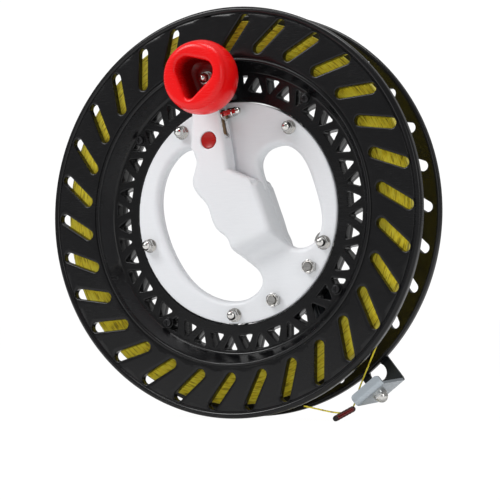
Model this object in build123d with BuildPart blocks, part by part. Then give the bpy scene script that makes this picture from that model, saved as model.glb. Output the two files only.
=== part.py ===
from build123d import *
from math import atan2, cos, pi, radians, sin, sqrt, tan
import os

# A hand-held kite line winder. The reel turns on five rollers round a fixed hub, which is also the
# grip. Millimetres, Z up, the front of the reel faces -Y. The origin is on the reel's axis, midway
# between its two flanges.

os.makedirs("parts", exist_ok=True)

# Driving dimensions of the reel
reel_radius = 130.0
reel_half_width = 19.0
bead_height = 0.5
flange_thickness = 5.5
slot_spacing = 12.0
slot_first = 4.0
slot_blank = 8
slot_length = 27.6
slot_width = 6.6
slot_middle_radius = 112.9
slot_lean = -34.5
drum_inner = 90.0
drum_outer = 93.0
web_front = -8.1
web_joint = -1.05
web_rear = 3.0
lip_rear = 0.5
lip_step = 75.2
track_radius = 73.05
track_front = -6.55
lip_radius = 71.2
truss_spacing = 15.0
truss_inner = 77.6
truss_outer = 87.5
truss_up_half = 3.9
truss_down_half = 3.3
screw_circle = 85.5
screw_angles = (55, 145, 235, 325)

# Driving dimensions of the hub and its grip
hub_radius = 70.5
hub_front = -9.1
hub_joint = -3.8
hub_rear = 1.5
grip_front = -22.0
grip_rear = 7.5
grip_edge_radius = 2.5
wall = 2.4
bolt_circle = 65.0
bolt_angles = (-162, -90, -18, 54, 126)
roller_radius = 8.0
roller_width = 5.0
roller_gap = 0.4
guide_bolt_places = ((52.4, -34.9), (27.8, -55.6))

# Driving dimensions of the winding
line_radius = 0.425
winding_front_radius = 121.3
winding_rear_radius = 116.5
winding_half_width = 12.6
core_gap = 0.1

# Driving dimensions of the crank
knob_x = -5.0
knob_z = 82.3
knob_radius = 23.2
knob_rear = -31.0
knob_front = -58.0
knob_floor = -36.7
lobe_reach = 9.7
lobe_radius = 4.8
lobe_angles = (-103, 17, 137)
boss_front = -20.0

# Driving dimensions of the lock in the grip's right-hand wall
lock_middle_y = -15.3
lock_lean = 101.3
lock_foot = (-2.9, 49.5)
lock_slot_length = 19.4
lock_slot_height = 6.6
pocket_place = 24.5
pocket_length = 6.5
bar_skin = 1.5
bar_height = 6.2
bar_thickness = 2.5
bar_low = -12.0
bar_high = 21.6
stud_place = 12.7

# Driving dimensions of the button
button_x = -12.7
button_z = 45.7
button_radius = 5.4
button_front = -21.6
shelf_y = -10.0
shelf_left = -23.3
shelf_right = -4.2
shelf_width = 7.6

# Driving dimensions of the line guide
guide_lean = -51.0
guide_offset = 2.7
strip_width = 22.5
strip_thickness = 1.8
guide_bolt_head = 2.6


def facing(y):
    """The plane across the reel's axis at y, drawn as seen from the front: x right, y up."""
    return Plane(origin=(0, y, 0), x_dir=(1, 0, 0), z_dir=(0, -1, 0))


def seat(x, z, y, front=True):
    """A plane at one place of the hub or reel, with its normal to the front or to the rear."""
    return Plane(origin=(x, y, z), x_dir=(1, 0, 0), z_dir=(0, -1 if front else 1, 0))


def around(radius, angles):
    """Places on a circle about the reel's axis, as pairs of X and Z."""
    return [(radius * cos(radians(a)), radius * sin(radians(a))) for a in angles]


def keep(piece, label):
    piece.part.label = label
    export_step(piece.part, f"parts/{label}.step")


def rings(seats, outer, bore, height, edge=0.0):
    """Washers, sleeves or bearing rings that stand on the given planes."""
    with BuildPart() as pieces:
        with BuildSketch(*seats):
            Circle(outer)
            Circle(bore, mode=Mode.SUBTRACT)
        extrude(amount=height)
        if edge:
            fillet(pieces.edges().filter_by(GeomType.CIRCLE), edge)
    return pieces


def hex_nuts(seats, flats, height, bore, edge=0.4):
    """Plain hexagon nuts with the corners of both faces turned down."""
    with BuildPart() as nuts:
        with BuildSketch(*seats):
            RegularPolygon(flats / 2, 6, major_radius=False)
        extrude(amount=height)
        with Locations(*seats):
            Cone(
                flats / 2 + 3 * edge + height,
                flats / 2 + 0.1,
                height + 2 * edge,
                align=(Align.CENTER, Align.CENTER, Align.MIN),
                mode=Mode.INTERSECT,
            )
        with BuildSketch(*seats):
            Circle(bore)
        extrude(amount=height, mode=Mode.SUBTRACT)
    return nuts


def acorn_nuts(seats, flats, bore):
    """Domed nuts: a hexagon, a short neck and a round cap, with a blind bore."""
    hexagon = 0.45 * flats
    dome = 0.46 * flats
    neck = 0.12 * flats
    with BuildPart() as nuts:
        with BuildSketch(*seats):
            RegularPolygon(flats / 2, 6, major_radius=False)
        extrude(amount=hexagon)
        with BuildSketch(*seats):
            Circle(dome)
        extrude(amount=hexagon + neck)
        with Locations(*[place.offset(hexagon + neck) for place in seats]):
            Sphere(dome)
        with BuildSketch(*seats):
            Circle(bore)
        extrude(amount=hexagon + neck, mode=Mode.SUBTRACT)
    return nuts


def helix_wire(middle_radius, turns, start_y, end_y, start_angle, stub):
    """A helix about the Y axis, made of two tangent arcs in each half turn, with straight ends."""
    half_turns = int(2 * turns)
    rise = (end_y - start_y) / half_turns

    def place(step):
        turn = radians(start_angle) + pi * step
        return Vector(
            middle_radius * cos(turn), start_y + rise * step, middle_radius * sin(turn)
        )

    def heading(step):
        turn = radians(start_angle) + pi * step
        speed = pi * middle_radius
        return Vector(-speed * sin(turn), rise, speed * cos(turn)).normalized()

    with BuildLine() as wire:
        Line(place(0) - heading(0) * stub, place(0))
        for step in range(half_turns):
            start, end = place(step), place(step + 1)
            leave, arrive = heading(step), heading(step + 1)
            span = end - start
            lean = leave + arrive
            bend = 2 * (1 - leave.dot(arrive))
            along = span.dot(lean)
            reach = (sqrt(along * along + bend * span.dot(span)) - along) / bend
            middle = (start + leave * reach + end - arrive * reach) * 0.5
            first = TangentArc(start, middle, tangent=leave)
            TangentArc(middle, end, tangent=first % 1)
        Line(place(half_turns), place(half_turns) + heading(half_turns) * stub)
    return wire


def helix_gap(middle_radius, turns, start_y, end_y, tube_radius):
    """The least gap between neighbouring turns, measured on points of the helix."""
    steps = 72
    points = []
    for step in range(int(turns * steps) + 1):
        turn = 2 * pi * step / steps
        y = start_y + (end_y - start_y) * step / (turns * steps)
        points.append((middle_radius * cos(turn), y, middle_radius * sin(turn)))
    least = min(
        sqrt(sum((a - b) ** 2 for a, b in zip(points[i], points[j])))
        for i in range(0, len(points) - steps, 9)
        for j in range(i + steps // 2, min(i + steps + steps // 2, len(points)))
    )
    return least - 2 * tube_radius


# ---------------------------------------------------------------- reel


def flange_profile(side):
    """The half section of one flange and its drum wall, from the lip to the rim. side -1 is front."""
    face = side * (reel_half_width - bead_height)
    crest = side * reel_half_width
    groove = side * (reel_half_width - bead_height - 0.6)
    inner = side * (reel_half_width - bead_height - flange_thickness)
    return face, crest, groove, inner


def draw_flange(side, lip, foot, throat):
    """Draws one half of the reel in the plane of radius and Y, down to its inner lip."""
    face, crest, groove, inner = flange_profile(side)
    with BuildLine() as outline:
        Polyline((lip, foot), (drum_inner - 0.4, foot), (95.0, side * 17.4))
        ThreePointArc((95.0, side * 17.4), (95.9, crest), (97.4, groove))
        Polyline(
            (97.4, groove),
            (98.0, groove),
            (98.3, face),
            (125.4, face),
            (125.7, groove),
            (126.3, groove),
        )
        ThreePointArc((126.3, groove), (127.9, crest), (reel_radius, side * 16.6))
        Line((reel_radius, side * 16.6), (reel_radius, side * 13.9))
        ThreePointArc(
            (reel_radius, side * 13.9), (129.2, side * 12.8), (128.2, side * 12.6)
        )
        Polyline(
            (128.2, side * 12.6),
            (126.4, side * 12.6),
            (125.2, inner),
            (98.6, inner),
            (drum_outer, side * 5.6),
            (drum_outer, web_joint),
        )
        Polyline(*throat)
    make_face(outline.edges())


def cut_slots(y, depth):
    """Cuts the slanted slots of one flange. One place in the ring of slots is left blank."""
    angles = [slot_first + slot_spacing * k for k in range(30) if k != slot_blank]
    for angle in angles:
        x, z = around(slot_middle_radius, [angle - 0.4])[0]
        with BuildSketch(facing(y)) as slot:
            with Locations(Location((x, z, 0), (0, 0, angle + slot_lean))):
                SlotOverall(slot_length, slot_width)
        extrude(slot.sketch, amount=depth, both=True, mode=Mode.SUBTRACT)


def cut_truss(y, depth):
    """Cuts the ring of upright and inverted triangles through the web."""
    for step in range(24):
        up = 5.0 + truss_spacing * step
        down = 12.5 + truss_spacing * step
        inward = around(truss_inner, (up - truss_up_half, up + truss_up_half))
        inward += around(truss_outer, (up,))
        outward = around(truss_outer, (down - truss_down_half, down + truss_down_half))
        outward += around(truss_inner, (down,))
        for corners in (inward, outward):
            with BuildSketch(facing(y)) as triangle:
                with BuildLine():
                    Polyline(*corners, close=True)
                make_face()
            extrude(triangle.sketch, amount=-depth, mode=Mode.SUBTRACT)


screw_places = around(screw_circle, screw_angles)

# the lock's own frame: x along its travel, y to the front, z out of the grip's wall
lock_along = Vector(cos(radians(lock_lean)), 0, sin(radians(lock_lean)))
lock_out = Vector(sin(radians(lock_lean)), 0, -cos(radians(lock_lean)))
lock_plane = Plane(
    origin=(lock_foot[0], lock_middle_y, lock_foot[1]), x_dir=lock_along, z_dir=lock_out
)

with BuildPart() as reel_front_half:
    with BuildSketch(Plane.XY):
        draw_flange(
            -1,
            lip_radius,
            web_front,
            (
                (drum_outer, web_joint),
                (track_radius, web_joint),
                (track_radius, track_front),
                (lip_radius, track_front),
                (lip_radius, web_front),
            ),
        )
    revolve(axis=Axis.Y)
    cut_slots(-reel_half_width + 3, 5)
    cut_truss(web_front - 1, 12)
    with BuildSketch(*[seat(x, z, web_joint) for x, z in screw_places]):
        Circle(3.7)
    extrude(amount=web_joint - web_front + 0.6)
    # the boss that carries the crank, with a pocket for the lock bar and one for the bolt's head
    with BuildSketch(facing(web_front + 1)) as crank_boss:
        with Locations((knob_x - 2, knob_z - 1.2)):
            RectangleRounded(24, 19, 6)
        Circle(lip_radius + 1.0, mode=Mode.SUBTRACT)
    extrude(amount=web_front + 1 - boss_front)
    fillet(
        reel_front_half.edges().filter_by_position(
            Axis.Y, boss_front - 0.01, boss_front + 0.01
        ),
        1.5,
    )
    with BuildSketch(*[seat(x, z, web_joint + 1) for x, z in screw_places]):
        Circle(1.7)
    extrude(amount=20, mode=Mode.SUBTRACT)
    with BuildSketch(seat(knob_x, knob_z, web_joint)):
        RegularPolygon(3.65, 6, major_radius=False)
    extrude(amount=3.4, mode=Mode.SUBTRACT)
    with BuildSketch(seat(knob_x, knob_z, web_joint)):
        Circle(2.05)
    extrude(amount=30, mode=Mode.SUBTRACT)

    with BuildSketch(lock_plane.offset(-bar_skin - bar_thickness - 0.5)) as lock_pocket:
        with Locations((pocket_place, 0)):
            Rectangle(pocket_length, bar_height + 1.0)
    extrude(lock_pocket.sketch, amount=bar_thickness + 1.0, mode=Mode.SUBTRACT)
keep(reel_front_half, "reel_front_half")

with BuildPart() as reel_rear_half:
    with BuildSketch(Plane.XY):
        draw_flange(
            1,
            lip_step,
            web_rear,
            (
                (drum_outer, web_joint),
                (lip_radius, web_joint),
                (lip_radius, lip_rear),
                (lip_step, lip_rear),
                (lip_step, web_rear),
            ),
        )
    revolve(axis=Axis.Y)
    cut_slots(reel_half_width - 3, 5)
    cut_truss(web_joint - 1, 12)
    with BuildSketch(*[seat(x, z, web_joint, front=False) for x, z in screw_places]):
        Circle(3.7)
    extrude(amount=6.2)
    with BuildSketch(*[seat(x, z, web_joint, front=False) for x, z in screw_places]):
        Circle(1.45)
    extrude(amount=5.0, mode=Mode.SUBTRACT)
keep(reel_rear_half, "reel_rear_half")

with BuildPart() as reel_screws:
    screw_seats = [seat(x, z, web_front - 0.6) for x, z in screw_places]
    with BuildSketch(*screw_seats):
        Circle(2.8)
    extrude(amount=1.9)
    fillet(reel_screws.edges().group_by(Axis.Y)[0], 0.9)
    with BuildSketch(*[place.offset(1.9) for place in screw_seats]):
        Rectangle(3.4, 0.8)
        Rectangle(0.8, 3.4)
    extrude(amount=-1.0, mode=Mode.SUBTRACT)
    with BuildSketch(*screw_seats):
        Circle(1.4)
    extrude(amount=-12.0)
keep(reel_screws, "reel_screws")

# ---------------------------------------------------------------- winding

layer_depth = line_radius + core_gap

with BuildPart() as winding_core:
    with BuildSketch(Plane.XY):
        with BuildLine():
            Polyline(
                (drum_outer + 0.2, -5.5),
                (98.5, -winding_half_width),
                (winding_front_radius - layer_depth, -winding_half_width),
                (winding_rear_radius - layer_depth, winding_half_width),
                (98.5, winding_half_width),
                (drum_outer + 0.2, 5.5),
                close=True,
            )
        make_face()
    revolve(axis=Axis.Y)
keep(winding_core, "winding_core")

# the outer layer of turns, drawn as one sleeve as thick as the line
layer_end = winding_half_width - line_radius
with BuildPart() as winding_layer:
    with BuildSketch(Plane.XY):
        with BuildLine() as layer_middle:
            Line((winding_front_radius, -layer_end), (winding_rear_radius, layer_end))
        SlotCenterPoint(
            layer_middle.line @ 0.5, layer_middle.line @ 1, 2 * line_radius
        )
    revolve(axis=Axis.Y)
keep(winding_layer, "winding_layer")

# ---------------------------------------------------------------- hub shells

left_opening = (
    (-34.0, 41.6),
    (-26.2, 38.6),
    (-22.6, 33.0),
    (-24.2, 25.5),
    (-25.2, 18.5),
    (-21.5, 11.5),
    (-14.8, 4.2),
    (-11.6, -4.2),
    (-7.0, -11.8),
    (-0.4, -17.2),
    (2.4, -24.5),
    (7.8, -31.2),
    (14.6, -36.6),
    (18.0, -44.0),
    (13.4, -51.2),
    (2.0, -55.8),
    (-14.0, -54.4),
    (-30.5, -46.0),
    (-44.2, -30.0),
    (-53.2, -10.5),
    (-56.4, 8.0),
    (-53.6, 23.5),
    (-46.0, 35.4),
)
right_opening = (
    (28.0, 41.3),
    (37.0, 40.6),
    (45.8, 33.6),
    (52.8, 19.5),
    (57.6, 4.0),
    (59.0, -8.0),
    (55.0, -18.2),
    (46.0, -22.8),
    (37.6, -21.4),
    (31.6, -14.2),
    (28.3, -5.3),
    (25.0, 3.5),
    (21.3, 13.4),
    (17.6, 23.2),
    (16.4, 31.5),
    (20.5, 38.2),
)
grip_outline = (
    (-24.5, 76.0),
    (-26.1, 36.0),
    (-38.0, 20.0),
    (-25.0, -10.0),
    (-6.0, -45.0),
    (47.0, -27.0),
    (40.0, 0.0),
    (30.0, 14.6),
    (0.8, 26.8),
    (-1.33, 41.65),
    (-8.2, 76.0),
)
rim_hollow_inner = 60.8
grip_hollow_outline = (
    (-21.0, 64.0),
    (-22.5, 39.0),
    (-19.3, 33.0),
    (-21.5, 19.5),
    (-11.5, 6.5),
    (-8.2, -3.5),
    (2.5, -12.5),
    (9.0, -12.5),
    (25.5, -7.0),
    (14.8, 17.5),
    (-2.0, 24.5),
    (-4.6, 41.5),
    (-8.6, 64.0),
)
ramp_foot = (12.9, -30.0)
ramp_lean = 20.2
ramp_plane = Plane(
    origin=(ramp_foot[0], 0, ramp_foot[1]),
    x_dir=(-sin(radians(ramp_lean)), 0, cos(radians(ramp_lean))),
    z_dir=(cos(radians(ramp_lean)), 0, sin(radians(ramp_lean))),
)
bolt_places = around(bolt_circle, bolt_angles)


def opening_face(points):
    """The closed outline of one finger opening, as a flat face drawn from the front."""
    with BuildSketch() as opening:
        with BuildLine():
            Spline(*points, periodic=True)
        make_face()
    return opening.sketch


def cut_openings():
    """Cuts both finger openings right through."""
    for points in (left_opening, right_opening):
        with BuildSketch(facing(0)) as opening:
            add(opening_face(points))
        extrude(opening.sketch, amount=40, both=True, mode=Mode.SUBTRACT)


def raise_grip(side, height, disc_face):
    """Adds the raised grip on one side of the disc, with a smooth ramp at its lower end."""
    with BuildSketch(facing(hub_joint)) as raised:
        with BuildLine():
            Polyline(*grip_outline, close=True)
        make_face()
    extrude(raised.sketch, amount=hub_joint - height)
    run = 1.1 * abs(height - disc_face)
    far = -height - side * 8
    with BuildSketch(ramp_plane) as above_ramp:
        with BuildLine():
            ramp = Spline(
                (-3, -disc_face), (run, -height), tangents=((1, 0), (1, 0))
            )
            Polyline((run, -height), (run, far), (-40, far), (-40, -disc_face), ramp @ 0)
        make_face()
    extrude(above_ramp.sketch, amount=70, both=True, mode=Mode.SUBTRACT)


def outer_form(form, side, height, disc_face):
    """The outside of one shell before it is hollowed, with the grip's crest rounded over."""
    with BuildSketch(facing(hub_joint)) as disc:
        Circle(hub_radius)
    extrude(disc.sketch, amount=hub_joint - disc_face)
    raise_grip(side, height, disc_face)
    extrude(disc.sketch, amount=40, both=True, mode=Mode.INTERSECT)
    crest = form.edges().filter_by_position(Axis.Y, height - 0.01, height + 0.01)
    fillet(crest.filter_by(GeomType.LINE), grip_edge_radius)
    cut_openings()


def hollow(disc_inner, grip_inner):
    """Cuts the shell's hollows from the joint face: one inside the rim and one inside the grip."""
    with BuildSketch(facing(hub_joint)) as rim_hollow:
        Circle(hub_radius - wall)
        Circle(rim_hollow_inner, mode=Mode.SUBTRACT)
        with Locations(*guide_bolt_places):
            Circle(6.0, mode=Mode.SUBTRACT)
    extrude(rim_hollow.sketch, amount=hub_joint - disc_inner, mode=Mode.SUBTRACT)
    with BuildSketch(facing(hub_joint)) as grip_hollow:
        with BuildLine():
            Polyline(*grip_hollow_outline, close=True)
        make_face()
    extrude(grip_hollow.sketch, amount=hub_joint - grip_inner, mode=Mode.SUBTRACT)


def cut_bolt_and_roller_places():
    """Bolt holes right through, and the windows in the rim that the rollers reach through."""
    with BuildSketch(*[seat(x, z, 20) for x, z in bolt_places]) as bolt_holes:
        Circle(2.1)
    extrude(bolt_holes.sketch, amount=60, mode=Mode.SUBTRACT)
    with BuildSketch(*[seat(x, z, 20) for x, z in guide_bolt_places]) as guide_holes:
        Circle(2.6)
    extrude(guide_holes.sketch, amount=60, mode=Mode.SUBTRACT)
    window_seats = [seat(x, z, hub_joint + window_half) for x, z in bolt_places]
    with BuildSketch(*window_seats) as windows:
        Circle(roller_radius + roller_gap)
    extrude(windows.sketch, amount=2 * window_half, mode=Mode.SUBTRACT)


window_half = roller_width / 2 + roller_gap

with BuildPart() as hub_front_shell:
    outer_form(hub_front_shell, -1, grip_front, hub_front)
    hollow(hub_joint - window_half, grip_front + wall)
    cut_bolt_and_roller_places()
    # the button's seat, a collar under the grip's face, and a shelf across the hollow for its spring
    with BuildSketch(seat(button_x, button_z, grip_front + wall - 0.2, front=False)):
        Circle(button_radius + 1.6)
        with Locations((6.0, 0)):
            Rectangle(3.0, 20, mode=Mode.SUBTRACT)
    extrude(amount=1.4)
    with BuildSketch(seat((shelf_left + shelf_right) / 2, button_z, shelf_y, front=False)):
        Rectangle(shelf_right - shelf_left, shelf_width)
        with Locations((button_x - (shelf_left + shelf_right) / 2, 0)):
            Circle(1.6, mode=Mode.SUBTRACT)
    extrude(amount=1.6)
    with BuildSketch(seat(button_x, button_z, -40, front=False)):
        Circle(button_radius + 0.15)
    extrude(amount=30, mode=Mode.SUBTRACT)
    # the lock's slot through the right-hand wall, and the bar's way out through the rim
    with BuildSketch(lock_plane.offset(-wall - 1)):
        with Locations((lock_slot_length / 2, 0)):
            RectangleRounded(lock_slot_length, lock_slot_height, 0.8)
    extrude(amount=10, mode=Mode.SUBTRACT)
    with BuildSketch(lock_plane.offset(-bar_skin - bar_thickness - 0.2)):
        with Locations((4.5, 0)):
            Rectangle(51, bar_height + 0.4)
    extrude(amount=bar_thickness + 0.4, mode=Mode.SUBTRACT)
keep(hub_front_shell, "hub_front_shell")

with BuildPart() as hub_rear_shell:
    outer_form(hub_rear_shell, 1, grip_rear, hub_rear)
    hollow(hub_joint + window_half, grip_rear - wall)
    cut_bolt_and_roller_places()
keep(hub_rear_shell, "hub_rear_shell")

# ---------------------------------------------------------------- hub fasteners and rollers

front_bolt_seats = [seat(x, z, hub_front) for x, z in bolt_places]
rear_bolt_seats = [seat(x, z, hub_rear, front=False) for x, z in bolt_places]

hub_washers = rings(front_bolt_seats, 4.5, 2.15, 0.8)
keep(hub_washers, "hub_washers")

hub_acorn_nuts = acorn_nuts([place.offset(0.8) for place in front_bolt_seats], 7.0, 1.98)
keep(hub_acorn_nuts, "hub_acorn_nuts")


def hex_bolts(head_seats, flats, head_height, shank_radius, shank_length):
    """Bolts whose heads stand on the given planes and whose shanks go back through them."""
    with BuildPart() as bolts:
        with BuildSketch(*head_seats):
            RegularPolygon(flats / 2, 6, major_radius=False)
        extrude(amount=head_height)
        with BuildSketch(*head_seats):
            Circle(shank_radius)
        extrude(amount=-shank_length)
    return bolts


hub_bolts = hex_bolts(rear_bolt_seats, 7.0, 2.8, 1.95, hub_rear - hub_front + 4.4)
keep(hub_bolts, "hub_bolts")

sleeve_seats = [seat(x, z, hub_joint + window_half) for x, z in bolt_places]
roller_sleeves = rings(sleeve_seats, 2.5, 2.0, 2 * window_half)
keep(roller_sleeves, "roller_sleeves")

roller_seats = [seat(x, z, hub_joint + roller_width / 2) for x, z in bolt_places]
roller_inner_rings = rings(roller_seats, 4.2, 2.55, roller_width, 0.3)
keep(roller_inner_rings, "roller_inner_rings")

ball_radius = 0.95
balls_in_roller = 7
with BuildPart() as roller_balls:
    for x, z in bolt_places:
        for ball in range(balls_in_roller):
            turn = 2 * pi * ball / balls_in_roller
            ball_x = x + 5.25 * cos(turn)
            ball_z = z + 5.25 * sin(turn)
            with Locations((ball_x, hub_joint, ball_z)):
                Sphere(ball_radius)
keep(roller_balls, "roller_balls")

for number, place in enumerate(roller_seats, 1):
    roller = rings([place], roller_radius, 6.3, roller_width, 0.4)
    keep(roller, f"roller_{number}")

# ---------------------------------------------------------------- crank

crank_seat = seat(knob_x, knob_z, boss_front)
head_top = web_joint - 3.4
post_end = knob_floor - 0.3 - 0.8 - 3.9

with BuildPart() as crank_post:
    with BuildSketch(seat(knob_x, knob_z, head_top, front=False)):
        RegularPolygon(3.5, 6, major_radius=False)
    extrude(amount=2.8)
    with BuildSketch(seat(knob_x, knob_z, head_top)):
        Circle(1.95)
    extrude(amount=head_top - post_end)
keep(crank_post, "crank_post")

with BuildPart() as crank_bush:
    with BuildSketch(crank_seat):
        Circle(5.5)
    extrude(amount=boss_front - knob_rear - 0.3)
    with BuildSketch(crank_seat):
        Circle(3.5)
    extrude(amount=boss_front - knob_floor + 0.3)
    with BuildSketch(crank_seat):
        Circle(2.0)
    extrude(amount=40, mode=Mode.SUBTRACT)
keep(crank_bush, "crank_bush")

crank_washer = rings([seat(knob_x, knob_z, knob_floor - 0.3)], 4.6, 2.15, 0.8)
keep(crank_washer, "crank_washer")

crank_acorn_nut = acorn_nuts([seat(knob_x, knob_z, knob_floor - 1.1)], 7.0, 1.98)
keep(crank_acorn_nut, "crank_acorn_nut")

with BuildPart() as crank_knob:
    with BuildSketch(Plane(origin=(knob_x, 0, knob_z), x_dir=(1, 0, 0), z_dir=(0, 0, 1))):
        with BuildLine():
            Line((0, knob_rear), (16.0, knob_rear))
            ThreePointArc((16.0, knob_rear), (18.2, -31.9), (19.6, -33.4))
            ThreePointArc((19.6, -33.4), (knob_radius, -45.0), (21.3, -54.4))
            ThreePointArc((21.3, -54.4), (19.9, -57.0), (16.8, knob_front))
            Polyline((16.8, knob_front), (0, knob_front), (0, knob_rear))
        make_face()
    revolve(axis=Axis(origin=(knob_x, 0, knob_z), direction=(0, 1, 0)))
    with BuildSketch(seat(knob_x, knob_z, knob_front)) as knob_recess:
        with BuildLine():
            Polyline(*around(lobe_reach, lobe_angles), close=True)
        make_face()
        offset(amount=lobe_radius)
    extrude(amount=knob_floor - knob_front, mode=Mode.SUBTRACT, dir=(0, 1, 0))
    fillet(crank_knob.edges().filter_by_position(Axis.Y, knob_front - 0.01, knob_front + 0.01), 1.2)
    with BuildSketch(seat(knob_x, knob_z, 0)):
        Circle(3.56)
    extrude(amount=60, mode=Mode.SUBTRACT)
keep(crank_knob, "crank_knob")

# ---------------------------------------------------------------- lock

bar_outer = -bar_skin
with BuildPart() as lock_bar:
    with BuildSketch(lock_plane.offset(bar_outer - bar_thickness)):
        with Locations(((bar_low + bar_high) / 2, 0)):
            Rectangle(bar_high - bar_low, bar_height)
    extrude(amount=bar_thickness)
    fillet(lock_bar.edges().filter_by(Axis(origin=(0, 0, 0), direction=tuple(lock_out))), 0.8)
keep(lock_bar, "lock_bar")

stud_plane = Plane(
    origin=lock_plane.from_local_coords((stud_place, 0, 0)),
    x_dir=lock_along,
    z_dir=lock_out,
)
with BuildPart() as lock_stud:
    with BuildSketch(stud_plane.offset(bar_outer)):
        Circle(1.45)
    extrude(amount=10.4 - bar_outer)
keep(lock_stud, "lock_stud")

lock_washer = rings([stud_plane.offset(0.3)], 4.4, 1.6, 0.7)
keep(lock_washer, "lock_washer")

lock_hex_nut = hex_nuts([stud_plane.offset(1.05)], 5.5, 5.6, 1.47, 0.3)
keep(lock_hex_nut, "lock_hex_nut")

lock_acorn_nut = acorn_nuts([stud_plane.offset(7.6)], 5.0, 1.47)
keep(lock_acorn_nut, "lock_acorn_nut")

lock_stop_washer = rings([stud_plane.offset(6.7)], 3.1, 1.6, 0.8)
keep(lock_stop_washer, "lock_stop_washer")

# ---------------------------------------------------------------- button

button_depth = 2.8
with BuildPart() as release_button:
    with BuildSketch(seat(button_x, button_z, button_front, front=False)):
        Circle(button_radius)
    extrude(amount=button_depth)
    fillet(release_button.edges().group_by(Axis.Y)[0], 0.7)
    with Locations((button_x, button_front - 14.2, button_z)):
        Sphere(15.0, mode=Mode.SUBTRACT)
    with BuildSketch(seat(button_x, button_z, button_front + button_depth, front=False)):
        Circle(1.4)
    extrude(amount=12.2)
keep(release_button, "release_button")

spring_wire = 0.3
spring_middle = 2.9
spring_turns = 6
spring_top = button_front + button_depth + spring_wire + 0.05
spring_foot = shelf_y - spring_wire - 0.05


spring_about_axis = helix_wire(
    spring_middle, spring_turns, spring_top, spring_foot, 0, 2 * spring_wire
).wires()[0]
spring_line = spring_about_axis.moved(Location((button_x, 0, button_z)))
with BuildPart() as button_spring:
    with BuildSketch(Plane(origin=spring_line @ 0, z_dir=spring_line % 0)):
        Circle(spring_wire)
    sweep(path=spring_line)
keep(button_spring, "button_spring")
print(
    "spring least gap",
    round(helix_gap(spring_middle, spring_turns, spring_top, spring_foot, spring_wire), 2),
)

button_clip = rings([seat(button_x, button_z, shelf_y + 2.6)], 2.6, 1.4, 0.8)
keep(button_clip, "button_clip")

# ---------------------------------------------------------------- line guide

guide_out = Vector(cos(radians(guide_lean)), 0, sin(radians(guide_lean)))
guide_across = Vector(-sin(radians(guide_lean)), 0, cos(radians(guide_lean)))
guide_plane = Plane(
    origin=guide_across * guide_offset, x_dir=guide_out, z_dir=guide_across
)
arm_front = 21.2
bend_rear = (144.9, arm_front)
bend_front = (146.3, -14.0)
lip_end = (141.0, -14.0)
crosspiece_slope = (bend_front[0] - bend_rear[0]) / (bend_rear[1] - bend_front[1])
crosspiece_reach = bend_rear[0] + crosspiece_slope * bend_rear[1]
hole_reach = 132.0
hole_radius = 5.8

with BuildPart() as guide_bracket:
    with BuildSketch(guide_plane.offset(-strip_width / 2)):
        with BuildLine():
            FilletPolyline(
                (58.0, hub_rear),
                (70.6, hub_rear),
                (88.5, arm_front),
                bend_rear,
                bend_front,
                lip_end,
                radius=(4.0, 4.0, 1.2, 1.2),
            )
            offset(amount=strip_thickness, side=Side.LEFT)
        make_face()
    extrude(amount=strip_width)
    lip_corners = guide_bracket.edges().filter_by_position(
        Axis(origin=(0, 0, 0), direction=tuple(guide_out)), 140.9, 141.2
    )
    fillet(lip_corners.filter_by(Axis.Y), 2.4)
    with BuildSketch(
        Plane(origin=(0, hub_rear, 0), x_dir=guide_out, z_dir=(0, 1, 0))
    ) as mounting_pad:
        with Locations((60.4, -guide_offset)):
            RectangleRounded(13.5, 44, 4)
    extrude(amount=strip_thickness)
    with BuildSketch(*[seat(x, z, 0, front=False) for x, z in guide_bolt_places]):
        Circle(2.6)
    extrude(amount=10, mode=Mode.SUBTRACT)
    hole_place = guide_plane.from_local_coords((hole_reach, 0, 0))
    with BuildSketch(seat(hole_place.X, hole_place.Z, 10, front=False)):
        Circle(hole_radius)
    extrude(amount=30, mode=Mode.SUBTRACT)
    crosspiece_tilt = atan2(crosspiece_slope, 1)
    crosspiece_plane = Plane(
        origin=guide_plane.from_local_coords((crosspiece_reach, 0, 0)),
        x_dir=guide_across,
        z_dir=guide_out * cos(crosspiece_tilt) + Vector(0, sin(crosspiece_tilt), 0),
    )
    with BuildSketch(crosspiece_plane.offset(-3)):
        Circle(2.6)
    extrude(amount=10, mode=Mode.SUBTRACT)
keep(guide_bracket, "guide_bracket")

guide_head_seats = [
    seat(x, z, hub_rear + strip_thickness, front=False) for x, z in guide_bolt_places
]
guide_nut_seats = [seat(x, z, hub_front) for x, z in guide_bolt_places]
guide_bolts = hex_bolts(
    guide_head_seats, 8.0, 3.5, 2.45, hub_rear + strip_thickness - hub_front + 4.4
)
keep(guide_bolts, "guide_bolts")

guide_hex_nuts = hex_nuts(guide_nut_seats, 8.0, 4.0, 2.48)
keep(guide_hex_nuts, "guide_hex_nuts")

with BuildPart() as crosspiece_bolt:
    with BuildSketch(crosspiece_plane.offset(-guide_bolt_head)):
        Circle(4.2)
    extrude(amount=guide_bolt_head)
    fillet(crosspiece_bolt.edges().group_by(Axis(origin=(0, 0, 0), direction=tuple(guide_out)))[0], 0.8)
    with BuildSketch(crosspiece_plane):
        Circle(2.45)
    extrude(amount=5.0)
keep(crosspiece_bolt, "crosspiece_bolt")

crosspiece_washer = rings([crosspiece_plane.offset(strip_thickness)], 4.6, 2.6, 0.8)
keep(crosspiece_washer, "crosspiece_washer")

with BuildPart() as crosspiece_acorn_nut:
    nut_plane = crosspiece_plane.offset(strip_thickness + 0.8)
    with BuildSketch(nut_plane):
        RegularPolygon(4.0, 6, major_radius=False)
    extrude(amount=1.5)
    with Locations(nut_plane.offset(1.5)):
        Sphere(3.9)
    split(bisect_by=nut_plane, keep=Keep.TOP)
    with BuildSketch(nut_plane):
        Circle(2.48)
    extrude(amount=2.6, mode=Mode.SUBTRACT)
keep(crosspiece_acorn_nut, "crosspiece_acorn_nut")

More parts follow.
